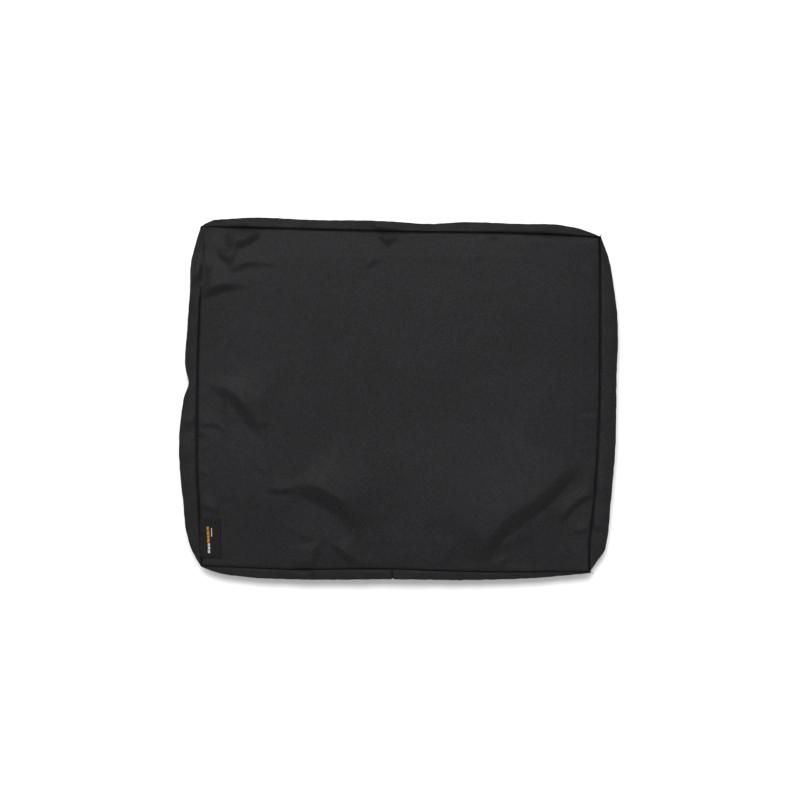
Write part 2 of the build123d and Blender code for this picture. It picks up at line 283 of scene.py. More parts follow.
def oneCrease(crease, line, x, y):
    gap = np.stack([x, y], -1)[:, None, :] - line[None, :, :]
    nearest = np.argmin((gap ** 2).sum(-1), 1)
    run = np.gradient(line, axis=0)[nearest]
    run /= np.linalg.norm(run, axis=1)[:, None]
    offset = gap[np.arange(len(x)), nearest]
    side = run[:, 0] * offset[:, 1] - run[:, 1] * offset[:, 0]
    past = np.abs((run * offset).sum(1))
    strength = fadeEnds(crease, nearest / (len(line) - 1))
    strength *= np.exp(-(past / (0.8 * crease["width"] + 2.2 * np.maximum(side, 0))) ** 2)
    # a weak end is also narrower
    width = crease["width"] * (0.2 + 0.8 * np.sqrt(strength))
    back = crease["back"] * (0.35 + 0.65 * strength)
    face = np.clip(side / width, 0, 1)
    curve = creaseShape["faceCurve"]
    face = face ** curve if crease["sharpCrest"] else 1 - (1 - face) ** curve
    slow = np.exp(-(np.maximum(side - width, 0) / back) ** creaseShape["backCurve"])
    before = np.exp(-(np.maximum(-side, 0) / back) ** creaseShape["backCurve"])
    shape = crease["rise"] * face - crease["sunk"] * crease["rise"]
    shape = shape * np.where(side > 0, slow, before)
    shape -= creaseShape["dent"] * np.exp(-(side / creaseShape["dentWidth"]) ** 2)
    return creaseShape["gain"] * strength * shape


def creaseRise(x, y):
    total = np.zeros_like(x)
    for crease in creases:
        crease = {**smallCrease, **crease}
        line = curveThrough(crease["path"], creaseShape["samples"])
        reach = crease["width"] + crease["back"] * 2.5
        near = ((x > line[:, 0].min() - reach) & (x < line[:, 0].max() + reach)
                & (y > line[:, 1].min() - reach) & (y < line[:, 1].max() + reach))
        if near.any():
            total[near] += oneCrease(crease, line, x[near], y[near])
    return total


outwards = {"left": np.array([-1.0, 0]), "right": np.array([1.0, 0]),
            "top": np.array([0, 1.0]), "bottom": np.array([0, -1.0])}
sideEnds = {"left": ("topLeft", "bottomLeft"), "right": ("topRight", "bottomRight"),
            "top": ("topLeft", "topRight"), "bottom": ("bottomLeft", "bottomRight")}
upright = ("left", "right")


def sideLength(side):
    return 2 * (halfHeight if side in upright else halfWidth)


def frontSeam(side, share):
    # Places on the front seam, for shares that run down the left or right, or along X.
    out = alongList(cover["seams"][side], share)
    corner = 0.0 if side in ("left", "top") else 1.0
    neighbours = ("top", "bottom") if side in upright else ("left", "right")
    startOut, endOut = (alongList(cover["seams"][name], corner) for name in neighbours)
    if side in upright:
        y = (halfHeight + startOut) * (1 - share) - (halfHeight + endOut) * share
        x = (halfWidth + out) * (1 if side == "right" else -1)
    else:
        x = -(halfWidth + startOut) * (1 - share) + (halfWidth + endOut) * share
        y = (halfHeight + out) * (1 if side == "top" else -1)
    run = y if side in upright else x
    length = abs(run[-1] - run[0])
    z = np.full_like(share, cover["seamLevel"])
    for name, gap in zip(sideEnds[side], (share * length, (1 - share) * length)):
        reach = cover["upperReach" if name.startswith("top") else "lowerReach"]
        drop = cover["seamLevel"] - cover["cornerLevels"][name]
        z -= drop * (1 - smooth(0, reach, gap)) ** 1.3
    return np.stack([x, y, z], -1)


def backSeam(side, share):
    ends = []
    for name in sideEnds[side]:
        dx, dy = cover["backCorners"][name]
        ends.append(np.array([(halfWidth - dx) * (1 if name.endswith("Right") else -1),
                              (halfHeight - dy) * (1 if name.startswith("top") else -1)]))
    places = ends[0] + (ends[1] - ends[0]) * share[..., None]
    if side == "top":
        # straight along the zip, and only then turning in to the corners
        inward = 1 - np.exp(-((1 - np.abs(2 * share - 1)) / 0.10) ** 2)
        places[..., 1] += (halfHeight - places[..., 1]) * inward
    z = np.full(places.shape[:-1], panelHigh.z)
    return np.concatenate([places, z[..., None]], -1)


def foldSurface(side, share, across, start=None):
    # across runs from the lower edge, 0, to the front seam, 1. Rows are across, columns along.
    upper = frontSeam(side, share)
    lower = backSeam(side, share) if start is None else start
    turn = (across - 0.5) * math.pi
    power = 2 / cover["foldRound"]
    out = np.cos(turn).clip(0) ** power
    rise = np.sign(np.sin(turn)) * np.abs(np.sin(turn)) ** power
    crest = lower[:, 2] + (upper[:, 2] - lower[:, 2]) * cover["crestShare"][side]
    level = np.where(rise[:, None] > 0, crest + (upper[:, 2] - crest) * rise[:, None],
                     crest + (crest - lower[:, 2]) * rise[:, None])
    mix = smooth(0, 1, across)[:, None, None]
    base = lower[None, :, :2] * (1 - mix) + upper[None, :, :2] * mix
    # the crest's distance counts from the front seam, which is what shows from the front
    direction = outwards[side]
    reach = np.maximum(alongList(cover["folds"][side], share), 0.0004)
    reach = reach + (upper[:, :2] - base[len(across) // 2]) @ direction
    plan = base + (out[:, None] * np.maximum(reach, 0.0003)[None, :])[..., None] * direction
    return np.concatenate([plan, level[..., None]], -1)


def borderRows(count, length, edge=(0.0, 0.0004, 0.0009, 0.0015, 0.0024)):
    # Shares from 0 to 1 that are close together at both ends.
    close = np.array(edge) / length
    middle = np.linspace(close[-1], 1 - close[-1], count)
    return np.concatenate([close[:-1], middle, 1 - close[:-1][::-1]])


def foldRows(count):
    return borderRows(count, 1.0, edge=(0.0, 0.008, 0.02, 0.035, 0.055))


def patchBetween(seam, us, vs):
    # A grid inside the four sides of a seam: us from left to right, vs from the top down.
    left, right, top, bottom = seam("left", vs), seam("right", vs), seam("top", us), seam("bottom", us)
    u, v = us[None, :, None], vs[:, None, None]
    corners = (top[0] * (1 - u) * (1 - v) + top[-1] * u * (1 - v)
               + bottom[0] * (1 - u) * v + bottom[-1] * u * v)
    return (left[:, None] * (1 - u) + right[:, None] * u
            + top[None] * (1 - v) + bottom[None] * v - corners)


def seamGaps(us, vs):
    # Distances of a grid's places from the nearest upright seam, and from the nearest flat one.
    across = np.minimum(us, 1 - us)[None, :] * 2 * halfWidth
    down = np.minimum(vs, 1 - vs)[:, None] * 2 * halfHeight
    return across + 0 * down, down + 0 * across


def flatPlaces(us, vs):
    return np.stack(np.meshgrid((us - 0.5) * 2 * halfWidth, (0.5 - vs) * 2 * halfHeight), -1)


def fourRound(z):
    return z[:-2, 1:-1] + z[2:, 1:-1] + z[1:-1, :-2] + z[1:-1, 2:]


def settledLevel(us, vs, plan):
    # Height of slack cloth held at the seams and lying on the core.
    ground = coreTop(plan[..., 0], plan[..., 1])
    z = np.maximum(plan[..., 2], ground)
    z[0], z[-1], z[:, 0], z[:, -1] = plan[0, :, 2], plan[-1, :, 2], plan[:, 0, 2], plan[:, -1, 2]
    fall = cover["sag"] * cover["coarse"] ** 2 / 4
    for _ in range(2500):
        z[1:-1, 1:-1] = np.maximum(fourRound(z) / 4 - fall, ground[1:-1, 1:-1])
    for _ in range(30):
        z[1:-1, 1:-1] = fourRound(z) / 4
    gap = np.minimum(*seamGaps(us, vs))
    return z + (cover["loft"] * smooth(0, 0.02, gap)
                + cover["crown"] * smooth(0, cover["crownEdge"], gap))


def showObject(name, data):
    obj = bpy.data.objects.new(name, data)
    bpy.context.scene.collection.objects.link(obj)
    return obj


def gridQuads(rows, columns):
    index = np.arange(rows * columns).reshape(rows, columns)
    return np.stack([index[:-1, :-1], index[1:, :-1], index[1:, 1:], index[:-1, 1:]], -1)


def meshFromGrid(name, points, uv, keep=None, flip=False):
    quads = gridQuads(*points.shape[:2])
    if keep is not None:
        quads = quads[keep]
    quads = quads.reshape(-1, 4)
    if flip:
        quads = quads[:, ::-1]
    mesh = bpy.data.meshes.new(name)
    mesh.from_pydata(points.reshape(-1, 3).tolist(), [], quads.tolist())
    layer = mesh.uv_layers.new(name="UVMap")
    corners = np.zeros(len(mesh.loops), np.int32)
    mesh.loops.foreach_get("vertex_index", corners)
    layer.data.foreach_set("uv", uv.reshape(-1, 2)[corners].astype(np.float32).ravel())
    mesh.polygons.foreach_set("use_smooth", [True] * len(mesh.polygons))
    edit = bmesh.new()
    edit.from_mesh(mesh)
    loose = [v for v in edit.verts if not v.link_faces]
    bmesh.ops.delete(edit, geom=loose, context="VERTS")
    edit.to_mesh(mesh)
    edit.free()
    return showObject(name, mesh)


def thicken(obj, gauge=clothGauge):
    wall = obj.modifiers.new("clothWall", "SOLIDIFY")
    wall.thickness = gauge
    wall.offset = -1
    wall.use_even_offset = False
    return obj


def topHem(along):
    # The top gusset's lower edge is sewn to the zip's tape; past the zip it runs to the back.
    hem, front = backSeam("top", along), frontSeam("top", along)
    straight = smooth(0.0, 0.05, np.minimum(along, 1 - along))[:, None]
    cornerShare = (hemLevel - hem[:, 2]) / (front[:, 2] - hem[:, 2])
    cornerPlace = hem[:, :2] + (front[:, :2] - hem[:, :2]) * cornerShare[:, None]
    zipPlace = hem[:, :2].copy()
    zipPlace[:, 1] = tapeHigh.y + clothGauge
    lowEdge = np.array(hem)
    lowEdge[:, :2] = cornerPlace * (1 - straight) + zipPlace * straight
    lowEdge[:, 2] = hemLevel
    return hem, lowEdge


coarseUs = np.linspace(0, 1, int(2 * halfWidth / cover["coarse"]) + 1)
coarseVs = np.linspace(0, 1, int(2 * halfHeight / cover["coarse"]) + 1)
coarsePlan = patchBetween(frontSeam, coarseUs, coarseVs)
coarsePlan[..., 2] = settledLevel(coarseUs, coarseVs, coarsePlan)
print("front panel laid on the core")


settling = {
    "scale": 10.0,             # the cloth settles at this many times its size
    "frames": 24,
    "quality": 6,
    "mass": 0.3,
    "stiffness": 12.0,
    "bending": 0.35,
    "panelHold": 0.40,         # how hard the panel keeps to the shape it starts from
    "gussetHold": 0.34,
    "slack": 0.025,            # spare length in the slack cloth
    "slackFrom": (-0.035, 0.01),       # distances from the core's outline where it starts and is full
    "clearance": 0.006,        # at the settling scale
    "stopGauge": 0.002,
    "stops": ("impact_foam_outer", "spreader_plate"),
    "cap": 0.0030,             # the furthest that a point may move
    "across": np.linspace(0, 1, 15),
}


def sideShares(side):
    return coarseVs if side in upright else coarseUs


def settlingGrids():
    # The panel and the folds, each with how hard it is held and how slack its places are.
    panel = coarsePlan.copy()
    gap = np.minimum(*seamGaps(coarseUs, coarseVs))
    panel[..., 2] += (creaseRise(panel[..., 0], panel[..., 1])
                      * smooth(*creaseShape["seamFade"], gap))
    corners = smooth(*settling["slackFrom"], coreDistance(panel[..., 0], panel[..., 1]))
    grids = {"front": (panel, settling["panelHold"], corners)}
    for side in outwards:
        shares = sideShares(side)
        start = topHem(shares)[1] if side == "top" else None
        fold = foldSurface(side, shares, settling["across"], start=start)
        grids[side] = (fold, settling["gussetHold"], np.ones(fold.shape[:2]))
    return grids


def makeSettlingCloth(grids):
    places, faces, holds, slacks = [], [], [], []
    count = 0
    for points, level, slack in grids.values():
        rows, columns = points.shape[:2]
        hold = np.full((rows, columns), level)
        hold[0], hold[-1], hold[:, 0], hold[:, -1] = 1, 1, 1, 1
        faces.append(count + gridQuads(rows, columns).reshape(-1, 4))
        places.append(points.reshape(-1, 3) * settling["scale"])
        holds.append(hold.ravel())
        slacks.append(slack.ravel())
        count += rows * columns
    places = np.concatenate(places)
    mesh = bpy.data.meshes.new("settlingCloth")
    mesh.from_pydata(places.tolist(), [], np.concatenate(faces).tolist())
    cloth = showObject("settlingCloth", mesh)
    for name, weights in (("held", holds), ("slack", slacks)):
        group = cloth.vertex_groups.new(name=name)
        weights = np.round(np.concatenate(weights), 2)
        for level in np.unique(weights):
            group.add(np.flatnonzero(weights == level).tolist(), float(level), "REPLACE")
    return cloth, places


def setMotion(cloth):
    motion = cloth.modifiers.new("Cloth", "CLOTH")
    motion.settings.quality = settling["quality"]
    motion.settings.mass = settling["mass"]
    motion.settings.tension_stiffness = settling["stiffness"]
    motion.settings.compression_stiffness = settling["stiffness"]
    motion.settings.shear_stiffness = settling["stiffness"] / 2
    motion.settings.bending_stiffness = settling["bending"]
    motion.settings.vertex_group_mass = "held"
    motion.settings.vertex_group_shrink = "slack"
    motion.settings.shrink_min = 0.0
    motion.settings.shrink_max = -settling["slack"]
    motion.collision_settings.distance_min = settling["clearance"]
    motion.collision_settings.collision_quality = 2


def makeStop(node):
    mesh = bpy.data.meshes.new_from_object(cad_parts[node])
    mesh.transform(Matrix.Scale(settling["scale"], 4))
    stop = showObject("settlingStop", mesh)
    stop.modifiers.new("Collision", "COLLISION")
    stop.collision.thickness_outer = settling["stopGauge"]
    return stop


def plainMesh(obj):
    bpy.context.view_layer.update()
    return bpy.data.meshes.new_from_object(obj.evaluated_get(bpy.context.evaluated_depsgraph_get()))


def settleCloth():
    # The panel and the gussets settle together, held at their seams, over the core.
    grids = settlingGrids()
    cloth, places = makeSettlingCloth(grids)
    setMotion(cloth)
    stops = [makeStop(node) for node in settling["stops"]]
    scene = bpy.context.scene
    for number in range(1, settling["frames"] + 1):
        scene.frame_set(number)
    result = plainMesh(cloth)
    moved = np.zeros(len(result.vertices) * 3)
    result.vertices.foreach_get("co", moved)
    shift = (moved.reshape(-1, 3) - places) / settling["scale"]
    length = np.linalg.norm(shift, axis=1)
    print("cloth settled; furthest move", round(float(length.max()) * 1000, 2), "mm")
    shift *= (np.minimum(length, settling["cap"]) / np.maximum(length, 1e-9))[:, None]
    for obj in [cloth, *stops]:
        bpy.data.objects.remove(obj)
    scene.frame_set(1)
    shifts, count = {}, 0
    for key, (points, _, _) in grids.items():
        size = points.shape[0] * points.shape[1]
        shifts[key] = shift[count:count + size].reshape(points.shape)
        count += size
    return shifts


shifts = settleCloth()


def settledFold(side, shares, across, start=None):
    shift = sampleGrid(shifts[side], sideShares(side), settling["across"], shares, across)
    return foldSurface(side, shares, across, start=start) + shift


def seamDent(gap):
    return np.exp(-(gap / cover["grooveWidth"]) ** 1.5)


def pastRoll(share):
    # 0 where the panel's edge rolls over the left seam, and 1 below that.
    return smooth(cover["rolledTo"] - cover["rolledFade"], cover["rolledTo"] + cover["rolledFade"],
                  share)


def makeFrontPanel():
    us, vs = (borderRows(int(2 * half / cover["spacing"]), 2 * half) for half in (halfWidth, halfHeight))
    points = sampleGrid(coarsePlan + shifts["front"], coarseUs, coarseVs, us, vs)
    x, y = points[..., 0].copy(), points[..., 1].copy()
    gapX, gapY = seamGaps(us, vs)
    gap = np.minimum(gapX, gapY)
    points[..., 2] += creaseRise(x, y) * smooth(*creaseShape["seamFade"], gap)
    ground = coreTop(x, y) + 0.0001
    lift = points[..., 2] - ground
    points[..., 2] = ground + (lift + np.sqrt(lift ** 2 + cover["easing"] ** 2)) / 2
    points[..., 2] += sum(height * (1 + ripple(x, y, length, seed))
                          for height, length, seed in cover["waves"])
    height, length, seed = cover["pucker"]
    near = np.exp(-gap / cover["puckerReach"])
    points[..., 2] += height * near * ripple(x, y, length, seed)
    deep = cover["grooveDepth"]
    depth = np.where(gapX < gapY, np.where(us < 0.5, deep["left"], deep["right"])[None, :],
                     np.where(vs < 0.5, deep["top"], deep["bottom"])[:, None])
    depth -= 1.5 * deep["left"] * (1 - pastRoll(vs))[:, None] * smooth(0.1, 0.0, us)[None, :]
    points[..., 2] -= depth * seamDent(gap)
    return thicken(meshFromGrid("front_cloth", points, flatPlaces(us, vs))), points


frontCloth, frontPoints = makeFrontPanel()
print("front panel made:", len(frontCloth.data.vertices), "points")


gusset = {
    "cut": 0.040,              # run across the fold that the texture and the waves count with
    "spacing": 0.002,
    "waves": (0.00055, 0.026, 11),     # height, length and seed, up and down
    "small": (0.00012, 0.012, 12),     # the same, in and out
    "creaseShare": 0.8,        # how much of the creases shows on the fold
    "hemDent": 0.0012,         # at the lower seam
    "lowest": panelHigh.z * 0.6,
    "joinAt": -0.003,          # where the bottom gusset's two halves are sewn together
    "joinDent": 0.0011,
    "joinWidth": 0.0008,
    "zipEnd": 0.008,           # from the tape's end to where the gusset leaves it
}


def finishGusset(name, side, points, share, across, flip, join=None, keep=None):
    x, y = points[..., 0].copy(), points[..., 1].copy()
    direction = outwards[side]
    down = across[:, None]
    run = share * sideLength(side)
    upperFlank = smooth(0.45, 0.75, down)
    hold = np.sin(math.pi * down.clip(0, 1)) ** 0.6       # the waves die away at both seams
    ends = smooth(0, 0.06, np.minimum(share, 1 - share))[None, :]
    height, length, seed = gusset["waves"]
    waves = ripple(run[None, :] + 0 * down, 0.4 * down * gusset["cut"] + 0 * run, length, seed)
    points[..., 2] += height * hold * ends * waves
    height, length, seed = gusset["small"]
    small = ripple(run[None, :] + 0 * down, down * gusset["cut"] + 0 * run, length, seed)
    points[..., :2] += (height * hold * ends * small)[..., None] * direction
    points[..., 2] += (gusset["creaseShare"] * creaseRise(x, y) * upperFlank
                       * smooth(0, 0.15, 1 - down))
    depth = cover["grooveDepth"][side] * np.ones(len(share))
    if side == "left":
        depth *= pastRoll(share)
    points[..., 2] -= depth * seamDent((1 - down) * gusset["cut"])
    inward = gusset["hemDent"] * seamDent(down.clip(0) * gusset["cut"])
    points[..., :2] -= inward[..., None] * direction
    points[..., 2] = np.maximum(points[..., 2], gusset["lowest"])
    if join is not None:
        gap = np.abs(share - join)[None, :] * 2 * halfWidth
        dip = gusset["joinDent"] * np.exp(-(gap / gusset["joinWidth"]) ** 1.5)
        dip = dip * np.sin(math.pi * down.clip(0.02, 0.98)) ** 0.3
        points[..., 1] -= direction[1] * dip
        points[..., 2] -= dip * upperFlank
    uv = np.stack(np.broadcast_arrays(run[None, :], down * gusset["cut"]), -1)
    return thicken(meshFromGrid(name, points, uv, keep=keep, flip=flip))


def makeGusset(name, side, low, high, flip, join=None):
    length = sideLength(side) * (high - low)
    share = low + borderRows(int(length / gusset["spacing"]), length) * (high - low)
    across = foldRows(26)
    return finishGusset(name, side, settledFold(side, share, across), share, across, flip, join=join)


def makeTopGusset():
    openShare = (tapeHigh.x - gusset["zipEnd"]) / (2 * halfWidth)
    mouth = [0.5 - openShare, 0.5 + openShare]
    along = np.unique(np.concatenate([borderRows(180, 2 * halfWidth), mouth]))
    hem, lowEdge = topHem(along)
    # past the zip's ends a plain strip runs on down to the back panel
    stripRows = np.linspace(0, 1, 6)[:-1]
    across = foldRows(24)
    strip = hem[None] + (lowEdge - hem)[None] * stripRows[:, None, None]
    points = np.concatenate([strip, settledFold("top", along, across, start=lowEdge)])
    allAcross = np.concatenate([stripRows * 0.2 - 0.2, across])
    middle = (along[:-1] + along[1:]) / 2
    keep = np.ones((len(allAcross) - 1, len(along) - 1), bool)
    keep[:len(stripRows), :] = (np.abs(middle - 0.5) > openShare)[None, :]
    return finishGusset("top_gusset_cloth", "top", points, along, allAcross, False, keep=keep)


joinShare = (gusset["joinAt"] + halfWidth) / (2 * halfWidth)
leftGusset = makeGusset("left_gusset_cloth", "left", 0.0, 1.0, True)
rightGusset = makeGusset("right_gusset_cloth", "right", 0.0, 1.0, False)
bottomLeftGusset = makeGusset("bottom_left_gusset_cloth", "bottom", 0.0, joinShare, True, joinShare)
bottomRightGusset = makeGusset("bottom_right_gusset_cloth", "bottom", joinShare, 1.0, True, joinShare)
topGusset = makeTopGusset()
print("gussets made")


backing = {
    "columns": 92,
    "rows": 78,
    "wave": (0.0006, 0.045, 21),       # height, length and seed
    "slackFrom": (-0.01, 0.05),
    "seamFade": (0.002, 0.02),
    "hemRise": 0.0009,
}


def makeBackPanel():
    us, vs = borderRows(backing["columns"], 2 * halfWidth), borderRows(backing["rows"], 2 * halfHeight)
    points = patchBetween(backSeam, us, vs)
    x, y = points[..., 0], points[..., 1]
    gap = np.minimum(*seamGaps(us, vs))
    slack = smooth(*backing["slackFrom"], coreDistance(x, y)) * smooth(*backing["seamFade"], gap)
    height, length, seed = backing["wave"]
    points[..., 2] = panelLow.z + height * slack * (1 + ripple(x, y, length, seed)) ** 2
    points[..., 2] += backing["hemRise"] * seamDent(gap)
    return thicken(meshFromGrid("back_cloth", points, flatPlaces(us, vs), flip=True))


backCloth = makeBackPanel()
print("back panel made")


allowance = {
    "inset": 0.0012,           # from the seam to the tape's outer edge
    "width": 0.007,
    "gauge": 0.0012,
    "frontDrop": -0.0034,
    "backRise": 0.0022,
    "count": 120,
    "zipGap": 0.0008,
}


def makeAllowance(name, seam, level, skip=None):
    # The turned-in seam allowances, bound with tape: one closed run inside the seam.
    shares = np.linspace(0, 1, allowance["count"], endpoint=False)
    loop = np.concatenate([seam("left", shares), seam("bottom", shares),
                           seam("right", 1 - shares), seam("top", 1 - shares)])
    points = []
    for inset in (allowance["inset"], allowance["inset"] + allowance["width"]):
        edge = loop.copy()
        edge[:, :2] *= (1 - inset / halfWidth, 1 - inset / halfHeight)
        points.append(edge)
    points = np.stack(points)
    points[..., 2] += level
    points = np.concatenate([points, points[:, :1]], 1)
    run = np.linspace(0, 4 * halfWidth + 4 * halfHeight, points.shape[1])
    uv = np.stack(np.broadcast_arrays(run[None, :], np.array([0, allowance["width"]])[:, None]), -1)
    keep = None
    if skip is not None:
        middle = (points[0, :-1, :2] + points[0, 1:, :2]) / 2
        keep = ~((np.abs(middle[:, 0]) < skip) & (middle[:, 1] > 0))[None, :]
    return thicken(meshFromGrid(name, points, uv, keep=keep), allowance["gauge"])


frontAllowance = makeAllowance("front_seam_tape", frontSeam, allowance["frontDrop"])
backAllowance = makeAllowance("back_seam_tape", backSeam, allowance["backRise"],
                              skip=tapeHigh.x + allowance["zipGap"])


# node trees: add makes a node, sets its own settings, and links or fills its inputs

def nodeTool(tree):
    def add(kind, values=None, **settings):
        node = tree.nodes.new(kind)
        for key, value in settings.items():
            setattr(node, key, value)
        for key, value in (values or {}).items():
            if isinstance(value, bpy.types.NodeSocket):
                tree.links.new(value, node.inputs[key])
            else:
                node.inputs[key].default_value = value
        return node
    return add


def mathTool(add):
    def calc(operation, a, b=0.0, c=0.0):
        return add("ShaderNodeMath", {0: a, 1: b, 2: c}, operation=operation).outputs[0]
    return calc


def newTree(name, kind, inputs, outputs):
    # Each input has its first value, or the name of its kind where it has none.
    tree = bpy.data.node_groups.new(name, kind + "NodeTree")
    kinds = {float: "Float", int: "Int", tuple: "Color"}
    for label, value in inputs.items():
        named = isinstance(value, str)
        socket = tree.interface.new_socket(
            name=label, in_out="INPUT",
            socket_type="NodeSocket" + (value if named else kinds[type(value)]))
        if not named:
            socket.default_value = value
    for label, value in outputs.items():
        tree.interface.new_socket(name=label, in_out="OUTPUT", socket_type="NodeSocket" + value)
    add = nodeTool(tree)
    return tree, add, add("NodeGroupInput").outputs


def makeWeaveGroup():
    # Plain weave from a UV map in metres: yarn height, a mask of the gaps between yarns, where the
    # cloth's colour is darkened as painted shade, and a painted sheen that makes the yarns lying one way
    # lighter than those across them, mixed with a random tone for each yarn.
    group, add, given = newTree(
        "plainWeave", "Shader", {"Vector": "Vector", "Pitch": 0.0006, "Unevenness": 0.15},
        {"Height": "Float", "Gap": "Float", "Yarn": "Float"})
    calc = mathTool(add)
    wobble = add("ShaderNodeTexNoise", {"Vector": given["Vector"], "Scale": 160.0, "Detail": 2.0})
    shift = calc("MULTIPLY", calc("SUBTRACT", wobble.outputs[0], 0.5),
                 calc("MULTIPLY", given["Unevenness"], given["Pitch"]))
    split = add("ShaderNodeSeparateXYZ", {0: given["Vector"]}).outputs
    u = calc("DIVIDE", calc("ADD", split[0], shift), given["Pitch"])
    v = calc("DIVIDE", calc("SUBTRACT", split[1], shift), given["Pitch"])
    cellU, cellV = calc("FLOOR", u), calc("FLOOR", v)
    over = calc("FLOORED_MODULO", calc("ADD", cellU, cellV), 2.0)
    across = calc("SINE", calc("MULTIPLY", calc("FRACT", u), math.pi))
    along = calc("SINE", calc("MULTIPLY", calc("FRACT", v), math.pi))
    warp = calc("MULTIPLY", across, calc("MULTIPLY_ADD", along, 0.35, 0.65))
    weft = calc("MULTIPLY", along, calc("MULTIPLY_ADD", across, 0.35, 0.65))
    height = add("ShaderNodeMix", {0: over, 2: warp, 3: weft}, data_type="FLOAT")
    cell = add("ShaderNodeCombineXYZ", {0: cellU, 1: cellV})
    chance = add("ShaderNodeTexWhiteNoise", {"Vector": cell.outputs[0]}, noise_dimensions="2D")
    # Yarn is a painted sheen, the yarns lying one way lighter than those across them, mixed with a
    # random tone for each yarn
    add("NodeGroupOutput", {
        "Height": height.outputs[0],
        "Gap": calc("SUBTRACT", 1.0, calc("MULTIPLY", across, along)),
        "Yarn": calc("ADD", calc("MULTIPLY", over, 0.7), calc("MULTIPLY", chance.outputs[0], 0.3))})
    return group


def makeToneGroup():
    # Slow unevenness in the dye, and fine specks of lint.
    group, add, given = newTree(
        "clothTone", "Shader",
        {"Vector": "Vector", "Dark": (0.01, 0.01, 0.01, 1), "Light": (0.02, 0.02, 0.02, 1),
         "Patch": 14.0, "Lint": 0.2}, {"Color": "Color"})
    patch = add("ShaderNodeTexNoise", {"Vector": given["Vector"], "Scale": given["Patch"],
                                       "Detail": 5.0, "Roughness": 0.62})
    spread = add("ShaderNodeMapRange", {0: patch.outputs[0], 1: 0.34, 2: 0.66})
    mixed = add("ShaderNodeMix", {0: spread.outputs[0], 6: given["Dark"], 7: given["Light"]},
                data_type="RGBA")
    specks = add("ShaderNodeTexNoise", {"Vector": given["Vector"], "Scale": 900.0, "Detail": 1.0})
    lint = add("ShaderNodeMapRange", {0: specks.outputs[0], 1: 0.66, 2: 0.78})
    amount = mathTool(add)("MULTIPLY", lint.outputs[0], given["Lint"])
    dusty = add("ShaderNodeMix", {0: amount, 6: mixed.outputs[2], 7: (0.10, 0.10, 0.105, 1)},
                data_type="RGBA")
    add("NodeGroupOutput", {"Color": dusty.outputs[2]})
    return group


def makeGrainGroup():
    # Fine grain for moulded, cast and foamed pieces.
    group, add, given = newTree(
        "fineGrain", "Shader",
        {"Vector": "Vector", "Scale": 400.0, "Base": (0.02, 0.02, 0.02, 1), "Vary": 0.25,
         "Rough": 0.5}, {"Color": "Color", "Height": "Float", "Roughness": "Float"})
    calc = mathTool(add)
    fine = add("ShaderNodeTexNoise", {"Vector": given["Vector"], "Scale": given["Scale"],
                                      "Detail": 4.0}).outputs[0]
    slow = add("ShaderNodeTexNoise", {"Vector": given["Vector"], "Scale": 35.0, "Detail": 3.0})
    gain = calc("MULTIPLY_ADD", calc("SUBTRACT", slow.outputs[0], 0.5), given["Vary"], 1.0)
    tint = add("ShaderNodeVectorMath", {0: given["Base"], 3: gain}, operation="SCALE")
    rough = calc("MULTIPLY_ADD", calc("SUBTRACT", fine, 0.5), 0.3, given["Rough"])
    add("NodeGroupOutput", {"Color": tint.outputs[0], "Height": fine, "Roughness": rough})
    return group


weaveGroup, toneGroup, grainGroup = makeWeaveGroup(), makeToneGroup(), makeGrainGroup()


def newMaterial(name):
    material = bpy.data.materials.new(name)
    material.use_nodes = True
    material.node_tree.nodes.clear()
    return material, nodeTool(material.node_tree)


def finishSurface(add, depth, height, **shader):
    # The Principled shader at the end of a material, with a bump of the given depth.
    bump = add("ShaderNodeBump", {"Strength": 1.0, "Distance": depth, "Height": height})
    shader = {key.replace("_", " "): value for key, value in shader.items()}
    surface = add("ShaderNodeBsdfPrincipled", {**shader, "Normal": bump.outputs[0]})
    add("ShaderNodeOutputMaterial", {"Surface": surface.outputs[0]})


def wovenMaterial(name, dark, light, pitch, depth, rough, specular, sheen=0.0, lint=0.2,
                  useObject=False, yarnSheenAndTone=0.5):
    # The painted sheen: how much lighter the yarns that lie one way are painted than those across them,
    # together with the strength of each yarn's random tone.
    material, add = newMaterial(name)
    calc = mathTool(add)
    place = add("ShaderNodeTexCoord").outputs
    weave = add("ShaderNodeGroup", {"Vector": place["Object" if useObject else "UV"],
                                    "Pitch": pitch}, node_tree=weaveGroup).outputs
    tone = add("ShaderNodeGroup", {"Vector": place["Object"], "Dark": (*dark, 1),
                                   "Light": (*light, 1), "Lint": lint}, node_tree=toneGroup)
    # painted shade: the colour is halved in the gaps between yarns, then scaled by the painted yarn
    # sheen and each yarn's random tone
    shade = calc("MULTIPLY_ADD", weave["Gap"], -0.5, 1.0)
    yarnSheenAndToneGain = calc("MULTIPLY_ADD", weave["Yarn"], yarnSheenAndTone, 1 - yarnSheenAndTone / 2)
    color = add("ShaderNodeVectorMath", {0: tone.outputs["Color"], 3: calc("MULTIPLY", shade, yarnSheenAndToneGain)},
                operation="SCALE")
    roughness = add("ShaderNodeMapRange", {0: weave["Height"], 3: rough + 0.12, 4: rough - 0.05})
    finishSurface(add, depth, weave["Height"], Base_Color=color.outputs[0], Sheen_Weight=sheen,
                  Roughness=roughness.outputs[0], Specular_IOR_Level=specular, Sheen_Roughness=0.45)
    return material


def grainyMaterial(name, base, scale, depth, rough, specular=0.4, metallic=0.0, coat=0.0):
    material, add = newMaterial(name)
    grain = add("ShaderNodeGroup", {"Vector": add("ShaderNodeTexCoord").outputs["Object"],
                                    "Scale": scale, "Base": (*base, 1), "Vary": 0.25,
                                    "Rough": rough}, node_tree=grainGroup).outputs
    finishSurface(add, depth, grain["Height"], Base_Color=grain["Color"], Metallic=metallic,
                  Roughness=grain["Roughness"], Specular_IOR_Level=specular, Coat_Weight=coat)
    return material


